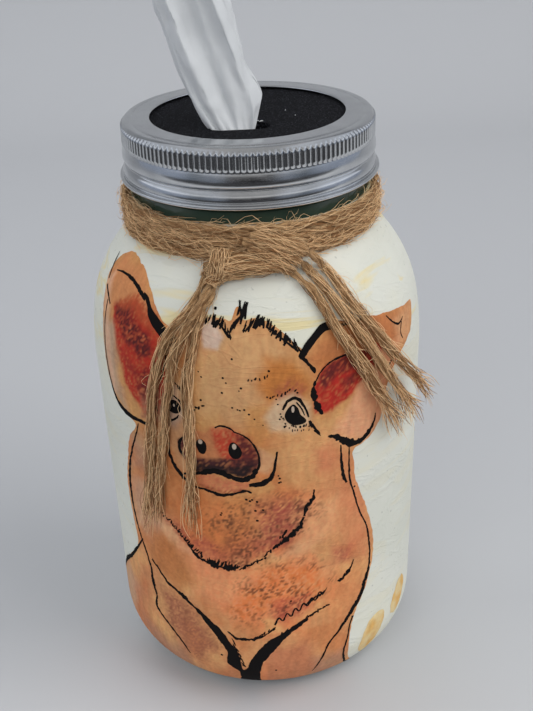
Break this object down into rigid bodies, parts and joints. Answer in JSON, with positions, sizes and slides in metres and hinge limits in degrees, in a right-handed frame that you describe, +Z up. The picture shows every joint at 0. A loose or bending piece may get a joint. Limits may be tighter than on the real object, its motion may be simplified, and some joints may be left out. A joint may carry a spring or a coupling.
{
  "type": "tissue dispenser jar",
  "caption": "Painted glass canning jar used as a tissue dispenser, with a screw band, slit foam insert, pulled tissue and a knotted twine wrap.",
  "frame": {"origin": "centre of the jar's base, on the plane that it rests on", "axes": "+Z up along the jar's axis; the decorated front and the knot face -Y, +X is to the right seen from the front"},
  "size_m": [0.0972, 0.0973, 0.23],
  "materials": {
    "glass": "dark green glass, painted outside below the thread",
    "paint": "cream chalk paint, brushed, under matt varnish",
    "print": "watercolour paper print sealed under matt varnish",
    "tissue": "soft white crepe tissue paper",
    "foam": "black fine-celled craft foam",
    "tinplate": "satin tinplate with a knurled edge",
    "twine": "hairy two-ply jute twine"
  },
  "bodies": {
    "jar": {"glass_jar": "glass", "paint_coat": "paint", "pig_print": "print", "straw_print": "print", "tissue_roll": "tissue", "twine_strand_upper": "twine", "twine_strand_middle": "twine", "twine_strand_lower": "twine", "twine_knot": "twine", "twine_tail_left_outer": "twine", "twine_tail_left_middle": "twine", "twine_tail_left_inner": "twine", "twine_tail_right_upper": "twine", "twine_tail_right_middle": "twine", "twine_tail_right_lower": "twine"},
    "insert": {"foam_insert": "foam"},
    "band": {"screw_band": "tinplate"},
    "tissue": {"tissue_plume": "tissue"}
  },
  "joints": [
    {"name": "lid_lift", "type": "slide", "parent": "jar", "child": "insert", "axis": [0, 0, 1], "range_m": [0, 0.0064]},
    {"name": "band_turn", "type": "hinge", "parent": "insert", "child": "band", "pos_m": [0, 0, 0.166], "axis": [0, 0, 1], "range_deg": [0, 450]},
    {"name": "tissue_pull", "type": "slide", "parent": "insert", "child": "tissue", "axis": [0, 0, 1], "range_m": [0, 0.05]}
  ],
  "couplings": [
    {"joint": "lid_lift", "follows": "band_turn", "m_per_rad": 0.00080851}
  ]
}
